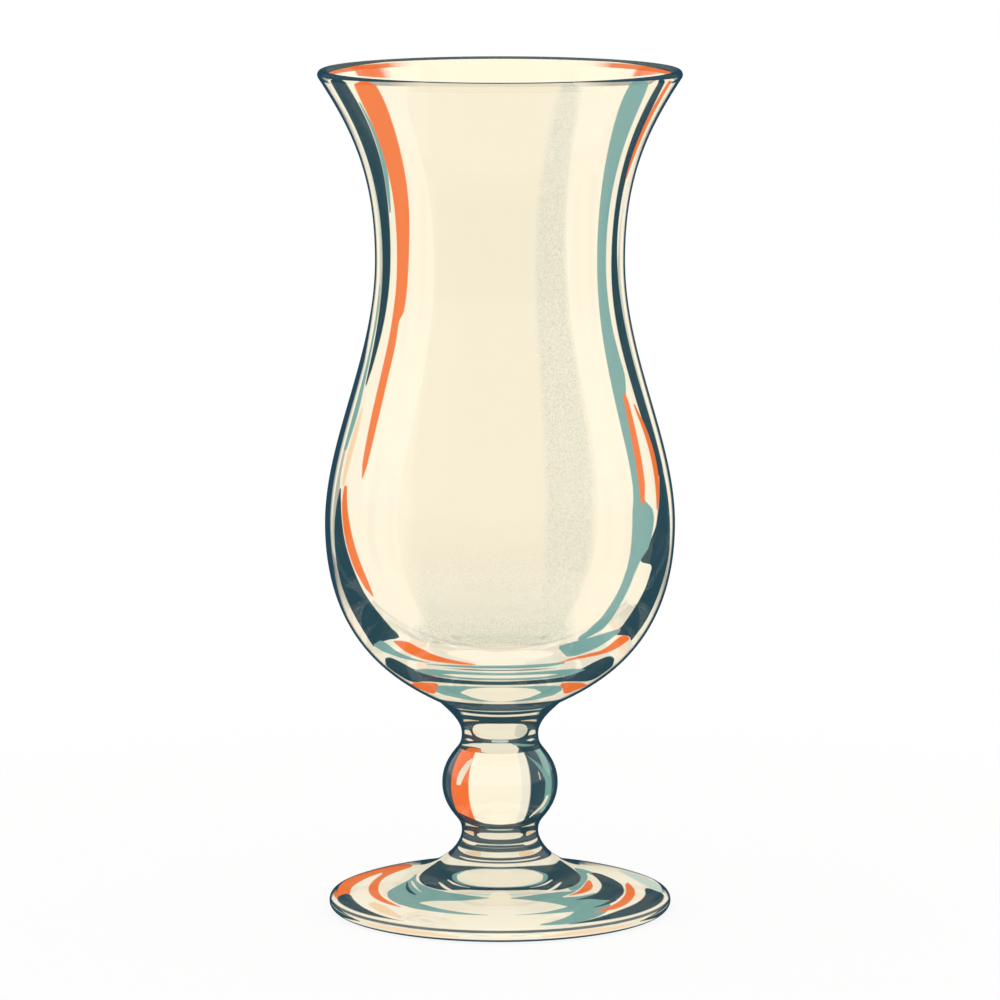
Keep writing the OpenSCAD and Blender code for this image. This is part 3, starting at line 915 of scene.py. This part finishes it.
def bowl_painted_reflection(place, spread, height):
    """The colour and the share of the painted reflection on the bowl: a thin painted cream light over
    the outer side, the field with its painted-shade stipple, the wall's streaks, the floor's bands, a
    painted orange reflection inside the lip, and a painted dark collar and lip."""
    side, outer = front_turn(place), outer_side(place)
    sideways = abs(side)
    # Painted shade: grey stipple low down and along the field's right side.
    lower_field = patch(height, side, LOWER_STIPPLE, LOWER_SOFT)
    lower_field = lower_field * held((STIPPLE_FROM - height) / STIPPLE_OVER)
    shaded = most(lower_field, patch(height, side, RIGHT_STIPPLE, RIGHT_SOFT))
    dotted = shaded * (shade_dots(place, SHADE_DOT_SCALE, SHADE_DOT_LEVEL) * SHADE_DOT_SHARE)
    colour = blend(patch(height, side, FIELD, FIELD_SOFT), CREAM_PAINTED_LIGHT, FIELD_CREAM)
    colour = blend(dotted, blend(shaded * SHADE_SHARE, colour, PAINTED_SHADE_STIPPLE), PAINTED_SHADE_STIPPLE)
    low = held((BASE_CREAM_FROM - height) / BASE_CREAM_OVER) * BASE_CREAM_SHARE
    share = most(most(low, BOWL_CREAM_SHARE), dotted * DOT_SHARE)
    for hue, points in WALL_STROKES:
        here = patch(height, side, points, WALL_SOFT)
        colour, share = laid(colour, share, here, hue, BOWL_REFLECTION_SHARE)
    for hue, points in BASE_STROKES:
        here = patch(side, height, points, BASE_SOFT)
        colour, share = laid(colour, share, here, hue, BOWL_REFLECTION_SHARE)
    share = share * outer
    ends = held((sideways - LIP_ENDS_FROM) / LIP_ENDS_OVER) * LIP_ENDS
    behind = (along(place, FRONT) < 0.0) * LIP_BEHIND
    lip = held((height - (LIP_TOP - most(ends, behind) * LIP_DEPTH)) / LIP_SOFT)
    pale_lip = (height > LIP_PALE_FROM) * outer * held(1.0 - ends)
    share = most(share, pale_lip * LIP_PALE_SHARE)
    # Painted orange reflection on the inner side of the lip, away from the front.
    warm = mask(height, *WARM_LIP, WARM_SOFT) * (1.0 - outer)
    warm = warm * held((sideways - WARM_FROM) / WARM_OVER)
    colour, share = laid(colour, share, warm, ORANGE_PAINTED_REFLECTION, WARM_SHARE)
    ring = most(mask(height, *COLLAR, COLLAR_SOFT), lip)
    return blend(ring, colour, DARK_PAINTED_REFLECTION), most(share, ring * RING_SHARE)


# %% [markdown]
# ## The glass
#
# Table glass bends light by about 1.5 and lets nearly all of it through, with a faint warm tint
# that deepens at every surface. Hand-made glass is never quite flat: it has a slow ripple from
# the working and spots that are polished a little less, which a bump and the roughness give. A
# true edge of glass looks dark because it shows the dark side of the room. Here Layer Weight
# finds where the wall turns away from the eye and paints a dark reflection there. The painted
# reflections lie over the clear glass as a thin coat that light crosses from behind.

# %% Where the edge's painted dark reflection begins
BOWL_EDGE, STEM_EDGE, FOOT_EDGE = 0.80, 0.62, 0.90
RIM_FROM, RIM_SOONER, INNER_LIP_FROM, INNER_LIP_LATER = 197.8, 0.08, 180.0, 0.4
LEFT_FROM, LEFT_SIDE, LEFT_SOFT, LEFT_SOONER = -60.0, (108.0, 30.0), 12.0, 0.085
ROUND_FROM, ROUND_SOONER = 38.7, 0.12


def bowl_edge(place, spread, height, outside):
    """Sooner round the rim, later inside the lip, and a little sooner down the left side."""
    rim = (height > RIM_FROM) * outside
    inner_lip = (1.0 - outer_side(place)) * (height > INNER_LIP_FROM)
    left = held(LEFT_FROM - front_turn(place)) * mask(height, *LEFT_SIDE, LEFT_SOFT)
    return BOWL_EDGE - rim * RIM_SOONER + inner_lip * INNER_LIP_LATER - left * LEFT_SOONER


def stem_edge(place, spread, height, outside):
    """The same all over."""
    return STEM_EDGE


def foot_edge(place, spread, height, outside):
    """Sooner round the foot's edge."""
    return FOOT_EDGE - (spread > ROUND_FROM) * outside * ROUND_SOONER


# %% Clear glass with its print
GLASS_IOR = 1.5
RIPPLE_SCALE, RIPPLE_STRENGTH, RIPPLE_DEPTH, UNEVEN_POLISH = 60.0, 0.04, 0.001, 0.06
EDGE_SOFT = 0.05
TRAPPED_AFTER = 11.5


def clear_glass(name, tint, painted_coat, edge_at):
    """Clear glass with painted reflection on it. The edge's painted dark reflection has the share
    (facing - edge) / softness, from 0 to 1, where facing is 1 less the cosine between the surface's
    normal and the eye's way, and a ray that is trapped in the glass ends on the same painted dark
    reflection."""
    material, tree, surface = blank_material(name)
    glass_node, glass = shader_of(tree, "BsdfPrincipled")
    glass_node.inputs["Base Color"].default_value = tint
    glass_node.inputs["Transmission Weight"].default_value = 1.0
    glass_node.inputs["IOR"].default_value = GLASS_IOR
    place = object_place(tree)
    swirl = noise(place, RIPPLE_SCALE, 0.0)
    ripple = tree.nodes.new("ShaderNodeBump")
    ripple.inputs["Strength"].default_value = RIPPLE_STRENGTH
    ripple.inputs["Distance"].default_value = RIPPLE_DEPTH
    feed(ripple.inputs["Height"], swirl)
    feed(glass_node.inputs["Normal"], Value(tree, ripple.outputs["Normal"]))
    feed(glass_node.inputs["Roughness"], held(swirl - 0.5) * UNEVEN_POLISH)
    parts = tree.nodes.new("ShaderNodeSeparateXYZ")
    feed(parts.inputs[0], place)
    side_x, side_y, height = (Value(tree, output) * 1000.0 for output in parts.outputs)
    spread = sums(tree, "SQRT", side_x * side_x + side_y * side_y)
    inside = Value(tree, tree.nodes.new("ShaderNodeNewGeometry").outputs["Backfacing"])
    outside = 1.0 - inside
    weight = tree.nodes.new("ShaderNodeLayerWeight")
    weight.inputs["Blend"].default_value = 0.5
    facing = Value(tree, weight.outputs["Facing"])
    outline = held((facing - edge_at(place, spread, height, outside)) / EDGE_SOFT)
    path = tree.nodes.new("ShaderNodeLightPath")
    outline = most(outline, Value(tree, path.outputs["Glossy Depth"]) > TRAPPED_AFTER)
    colour, share = painted_coat(place, spread, height)
    colour = blend(outline, colour, DEEP)
    front_node, painted_front = shader_of(tree, "BsdfDiffuse")
    back_node, painted_back = shader_of(tree, "BsdfTranslucent")
    feed(front_node.inputs["Color"], colour)
    feed(back_node.inputs["Color"], colour)
    coat = mixed(inside, painted_front, painted_back)
    feed(surface, mixed(most(share * outside, outline), glass, coat))
    print(name, len(tree.nodes), "nodes")
    return material


# %% [markdown]
# ## Fused joints
#
# The pieces were joined hot, and glass that has melted together has no surface inside. The five
# meshes still meet face to face, and two glass faces there would bend light twice. Both faces of
# each joint are therefore clear all through, so that light passes from piece to piece untouched.

# %% A joint without a surface
joint_glass, joint_tree, joint_surface = blank_material("fused_joint")
feed(joint_surface, shader_of(joint_tree, "BsdfTransparent")[1])

# %% The three glasses
BOWL_TINT = (1.0, 0.96, 0.86, 1)
STEM_TINT = (1.0, 0.95, 0.82, 1)
FOOT_TINT = (1.0, 0.95, 0.80, 1)
bowl_glass = clear_glass("bowl_glass", BOWL_TINT, bowl_painted_reflection, bowl_edge)
stem_glass = clear_glass("stem_glass", STEM_TINT, stem_painted_reflection, stem_edge)
foot_glass = clear_glass("foot_glass", FOOT_TINT, foot_painted_reflection, foot_edge)


# %% [markdown]
# ## Profiles of round pieces
#
# Glass that is worked on a turning iron is round, so each piece is one profile carried round the
# axis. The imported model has 144 facets, which glass would show as bands in what it bends. The
# same profiles are therefore made again from the same lengths, with many more points.

# %% Curves
def curve(a, b, c, d, steps):
    """A cubic curve: it leaves a towards b and comes to d from c."""
    t = np.linspace(0, 1, steps + 1)[:, None]
    s = 1 - t
    a, b, c, d = (np.array(point, float) for point in (a, b, c, d))
    return s ** 3 * a + 3 * s * s * t * b + 3 * s * t * t * c + t ** 3 * d


def uphill(length, slope):
    """A step outwards and up at a slope in degrees from level."""
    return length * np.array([np.cos(np.radians(slope)), np.sin(np.radians(slope))])


def downhill(length, slope):
    """A step outwards and down at a slope in degrees from level."""
    return uphill(length, slope) * [1, -1]


def arc(centre, radius, start, end, steps):
    """Points of a circle about a centre, from one angle to another."""
    angle = np.radians(np.linspace(start, end, steps + 1))
    return np.array(centre) + radius * np.stack([np.cos(angle), np.sin(angle)], 1)


UP = np.array([0.0, 1.0])


def joined(*runs):
    """Runs of points end to end, with a point that two of them share kept once."""
    kept = [runs[0]]
    for run in runs[1:]:
        same = np.linalg.norm(run[0] - kept[-1][-1]) < 1e-7
        kept.append(run[1:] if same else run)
    return np.vstack(kept)


# %% [markdown]
# ## Turning a profile
#
# Blender's Spin would do this, but it leaves a seam to be merged and a hole at each pole. The
# whole surface is worked out as one grid of points instead: the grid closes on itself round the
# axis, and one point closes each pole.

# %% Turning a profile
AROUND = 256


def turned(name, profile, glass, caps=()):
    """A closed body of revolution. Point k of the profile (r, z) and angle a give the point
    (r cos a, r sin a, z). The first and last points lie on the axis, and become one point each.
    Faces between profile points whose heights both equal a joint's are the joint."""
    profile = np.array(profile, float) / 1000
    ring = profile[1:-1]
    angle = np.linspace(0, 2 * np.pi, AROUND, endpoint=False)
    x = np.outer(ring[:, 0], np.cos(angle))
    y = np.outer(ring[:, 0], np.sin(angle))
    z = np.repeat(ring[:, 1:], AROUND, 1)
    grid = np.stack([x, y, z], -1).reshape(-1, 3)
    points = np.vstack([[0, 0, profile[0, 1]], grid, [0, 0, profile[-1, 1]]])
    rows = len(ring)
    index = 1 + np.arange(rows * AROUND).reshape(rows, AROUND)
    here, beside = index, np.roll(index, -1, 1)
    quads = np.stack([here[:-1], beside[:-1], beside[1:], here[1:]], -1).reshape(-1, 4)
    last = len(points) - 1
    first_fan = np.stack([np.zeros(AROUND, int), beside[0], here[0]], 1)
    last_fan = np.stack([np.full(AROUND, last), here[-1], beside[-1]], 1)
    faces = first_fan.tolist() + quads.tolist() + last_fan.tolist()
    mesh = bpy.data.meshes.new(name)
    mesh.from_pydata(points.tolist(), [], faces)
    segment = np.concatenate([
        np.zeros(AROUND, int), np.repeat(np.arange(1, rows), AROUND), np.full(AROUND, rows)])
    height = profile[:, 1]
    flat = np.zeros(rows + 1, bool)
    for level in caps:
        level = level / 1000
        flat |= (abs(height[:-1] - level) < 1e-7) & (abs(height[1:] - level) < 1e-7)
    slots = flat[segment].astype(np.int32)
    mesh.materials.append(glass)
    mesh.materials.append(joint_glass)
    mesh.polygons.foreach_set("material_index", slots)
    mesh.polygons.foreach_set("use_smooth", (slots == 0))
    mesh.update()
    piece = bpy.data.objects.new(name, mesh)
    scene.collection.objects.link(piece)
    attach(piece, "root")
    print(name, len(faces), "faces")
    return piece


# %% [markdown]
# ## Levels of the joints
#
# All lengths are in millimetres, as on the maker's drawing, and are turned into metres when the
# mesh is made.

# %% Levels
FOOT_H, LOWER_SPOOL_H, KNOP_H, UPPER_SPOOL_H, BOWL_H = 13.0, 8.6, 17.4, 11.2, 149.8
FOOT_JOINT_Z = FOOT_H
KNOP_FOOT_Z = FOOT_JOINT_Z + LOWER_SPOOL_H
KNOP_BOWL_Z = KNOP_FOOT_Z + KNOP_H
BOWL_JOINT_Z = KNOP_BOWL_Z + UPPER_SPOOL_H
RIM_Z = BOWL_JOINT_Z + BOWL_H
print("Joints at", FOOT_JOINT_Z, KNOP_FOOT_Z, KNOP_BOWL_Z, BOWL_JOINT_Z, "mm, rim at", RIM_Z, "mm")

# %% [markdown]
# ## The bowl
#
# The bowl is blown: its wall is even, it thickens to a solid floor where the stem is put on, and
# its lip is melted round in the flame. Two smooth curves, rim to waist and waist to belly, make
# each side of the wall, and an arc joins them over the lip.

# %% Bowl profile
RIM_R, LIP_T, RIM_SLOPE = 42.8, 2.4, 57
WAIST_R, WAIST_H, WAIST_WALL = 29.4, 105.2, 3.0
BELLY_R, BELLY_H, BELLY_WALL = 41.4, 42.4, 3.2
FLOOR_T, BOWL_JOINT_R, BOWL_JOINT_SLOPE = 8.4, 14.7, 27
RIM_SHARE, WAIST_UP_SHARE, WAIST_DOWN_SHARE = 0.325, 0.47, 0.37
BELLY_UP_SHARE, BELLY_DOWN_SHARE = 0.32, 0.675
BOWL_JOINT_SHARE, FLOOR_SIDE_SHARE, FLOOR_MID_SHARE = 0.39, 0.62, 0.55
WALL_STEPS, UNDER_STEPS, LIP_STEPS = 48, 64, 20


def wall_side(lip, waist, belly):
    """One side of the wall: a curve from the lip to the waist, and one from the waist to the
    belly. It is upright at the waist and the belly, and leaves the lip at the rim's slope."""
    flare_h, drop_h = lip[1] - waist[1], waist[1] - belly[1]
    flare = curve(lip, lip - uphill(RIM_SHARE * flare_h, RIM_SLOPE),
                  waist + WAIST_UP_SHARE * flare_h * UP, waist, WALL_STEPS)
    drop = curve(waist, waist - WAIST_DOWN_SHARE * drop_h * UP,
                 belly + BELLY_UP_SHARE * drop_h * UP, belly, WALL_STEPS)
    return joined(flare, drop)


lip_r = LIP_T / 2
lip_centre = np.array([RIM_R - lip_r, RIM_Z - lip_r])
lip_out = lip_centre + uphill(lip_r, RIM_SLOPE - 90)
lip_in = lip_centre - uphill(lip_r, RIM_SLOPE - 90)
waist_z, belly_z = BOWL_JOINT_Z + WAIST_H, BOWL_JOINT_Z + BELLY_H
belly_out, belly_in = np.array([BELLY_R, belly_z]), np.array([BELLY_R - BELLY_WALL, belly_z])
bowl_joint = np.array([BOWL_JOINT_R, BOWL_JOINT_Z])
floor_mid = np.array([0, BOWL_JOINT_Z + FLOOR_T])
under = curve(belly_out, belly_out - BELLY_DOWN_SHARE * BELLY_H * UP,
              bowl_joint + uphill(BOWL_JOINT_SHARE * (BELLY_R - BOWL_JOINT_R), BOWL_JOINT_SLOPE),
              bowl_joint, UNDER_STEPS)
inside_curve = curve(belly_in, belly_in - FLOOR_SIDE_SHARE * (belly_z - floor_mid[1]) * UP,
                     floor_mid + [FLOOR_MID_SHARE * belly_in[0], 0], floor_mid, UNDER_STEPS)
bowl_profile = joined(
    np.array([[0, BOWL_JOINT_Z]]), under[::-1],
    wall_side(lip_out, np.array([WAIST_R, waist_z]), belly_out)[::-1],
    arc(lip_centre, lip_r, RIM_SLOPE - 90, RIM_SLOPE + 90, LIP_STEPS),
    wall_side(lip_in, np.array([WAIST_R - WAIST_WALL, waist_z]), belly_in),
    inside_curve)
print("The bowl's profile has", len(bowl_profile), "points")

# %% Bowl
bowl = turned("blown_bowl", bowl_profile, bowl_glass, caps=[BOWL_JOINT_Z])
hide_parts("bowl")

# %% [markdown]
# ## The spools
#
# Each spool is a short rod pulled in at the middle while it is soft, which makes it hollow in
# outline. It joins its neighbours in one smooth line, so its ends leave at their slopes.

# %% Spool profile
SPOOL_STEPS = 32
NECK_R, UPPER_NECK_H, LOWER_NECK_H = 9.1, 3.2, 5.8
NECK_SHARE, FLARE_SHARE, FOOT_FLARE_SHARE, UPPER_FLARE_SLOPE = 0.4, 0.35, 0.3, 43
KNOP_JOINT_R, KNOP_JOINT_SLOPE, FOOT_JOINT_R, FOOT_JOINT_SLOPE = 10.0, 55, 12.3, 40


def spool(low, low_handle, neck, high, high_handle):
    """A spool's outline: from the axis out to the low joint, in to the neck, out to the high
    joint and back to the axis. Each handle is a step per millimetre of the height that its curve
    spans."""
    low, low_handle, neck = np.array(low), np.array(low_handle), np.array(neck)
    high, high_handle = np.array(high), np.array(high_handle)
    lower_h, upper_h = neck[1] - low[1], high[1] - neck[1]
    lower = curve(low, low + low_handle * lower_h, neck - NECK_SHARE * lower_h * UP, neck,
                  SPOOL_STEPS)
    upper = curve(neck, neck + NECK_SHARE * upper_h * UP, high - high_handle * upper_h, high,
                  SPOOL_STEPS)
    return joined(np.array([[0, low[1]]]), lower, upper, np.array([[0, high[1]]]))


# %% Spools
upper_spool = turned("upper_spool_glass", spool(
    [KNOP_JOINT_R, KNOP_BOWL_Z], -downhill(NECK_SHARE, KNOP_JOINT_SLOPE),
    [NECK_R, KNOP_BOWL_Z + UPPER_NECK_H], [BOWL_JOINT_R, BOWL_JOINT_Z],
    uphill(FLARE_SHARE, UPPER_FLARE_SLOPE)),
    stem_glass, caps=[KNOP_BOWL_Z, BOWL_JOINT_Z])
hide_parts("upper_spool")
lower_spool = turned("lower_spool_glass", spool(
    [FOOT_JOINT_R, FOOT_JOINT_Z], -downhill(FOOT_FLARE_SHARE, FOOT_JOINT_SLOPE),
    [NECK_R, FOOT_JOINT_Z + LOWER_NECK_H], [KNOP_JOINT_R, KNOP_FOOT_Z],
    uphill(NECK_SHARE, KNOP_JOINT_SLOPE)),
    stem_glass, caps=[FOOT_JOINT_Z, KNOP_FOOT_Z])
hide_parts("lower_spool")

# %% [markdown]
# ## The knop
#
# The ball is a drop of glass that is turned until it is round, then joined at two flat spots. It
# is a shade longer than a true ball towards its joints, so it is drawn as two curves and not as
# a circle.

# %% Knop
KNOP_R, KNOP_SIDE_SHARE, KNOP_END_SHARE, KNOP_STEPS = 13.75, 0.555, 0.16, 40
half_h = KNOP_H / 2
middle = np.array([KNOP_R, KNOP_FOOT_Z + half_h])
top, bottom = np.array([KNOP_JOINT_R, KNOP_BOWL_Z]), np.array([KNOP_JOINT_R, KNOP_FOOT_Z])
knop_profile = joined(
    np.array([[0, KNOP_FOOT_Z]]),
    curve(bottom, bottom + uphill(KNOP_END_SHARE * half_h, KNOP_JOINT_SLOPE),
          middle - KNOP_SIDE_SHARE * half_h * UP, middle, KNOP_STEPS),
    curve(middle, middle + KNOP_SIDE_SHARE * half_h * UP,
          top + downhill(KNOP_END_SHARE * half_h, KNOP_JOINT_SLOPE), top, KNOP_STEPS),
    np.array([[0, KNOP_BOWL_Z]]))
knop = turned("ball_knop", knop_profile, stem_glass, caps=[KNOP_FOOT_Z, KNOP_BOWL_Z])
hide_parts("knop")

# %% [markdown]
# ## The foot
#
# The foot is a gather that is pressed and spun into a disc. It rises to a cone under the stem, its
# edge is melted round, and it is hollow underneath, so that it stands on a ring and doesn't rock.

# %% Foot
FOOT_R, FOOT_EDGE_T, FOOT_EDGE_SLOPE, REST_RING_W, HOLLOW_H = 40.7, 3.9, 22, 3.0, 2.0
FOOT_JOINT_SHARE, FOOT_EDGE_SHARE, FOOT_STEPS, EDGE_STEPS, HOLLOW_STEPS = 0.35, 0.34, 64, 24, 24
edge_r = FOOT_EDGE_T / 2
edge_centre = np.array([FOOT_R - edge_r, edge_r])
edge_top = edge_centre + uphill(edge_r, 90 - FOOT_EDGE_SLOPE)
foot_joint = np.array([FOOT_JOINT_R, FOOT_JOINT_Z])
spread_w = edge_top[0] - FOOT_JOINT_R
hollow_r = edge_centre[0] - REST_RING_W
steps = np.linspace(0, 1, HOLLOW_STEPS)
hollow = np.stack([hollow_r * steps, HOLLOW_H * (1 - steps ** 2)], 1)
upper_side = curve(foot_joint, foot_joint + downhill(FOOT_JOINT_SHARE * spread_w, FOOT_JOINT_SLOPE),
                   edge_top - downhill(FOOT_EDGE_SHARE * spread_w, FOOT_EDGE_SLOPE), edge_top,
                   FOOT_STEPS)
foot_profile = joined(hollow, arc(edge_centre, edge_r, -90, 90 - FOOT_EDGE_SLOPE, EDGE_STEPS),
                      upper_side[::-1], np.array([[0, FOOT_JOINT_Z]]))
foot = turned("round_foot", foot_profile, foot_glass, caps=[FOOT_JOINT_Z])
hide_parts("foot")

# %% [markdown]
# ## Clear sheets over the mouth
#
# These are part of the studio and not of the glass. They are quite clear and bend nothing. They
# only add to a ray's count of clear surfaces, which tells the world that the ray came through
# the open mouth.

# %% Mouth sheets
SHEET_LIFT, SHEET_GAP = 0.2, 0.1
for number in range(MOUTH_SHEETS):
    mouth_sheet = disc(f"mouth_sheet_{number}", (RIM_R - lip_r) / 1000,
                       (RIM_Z + SHEET_LIFT + SHEET_GAP * number) / 1000)
    mouth_sheet.data.materials.append(joint_glass)
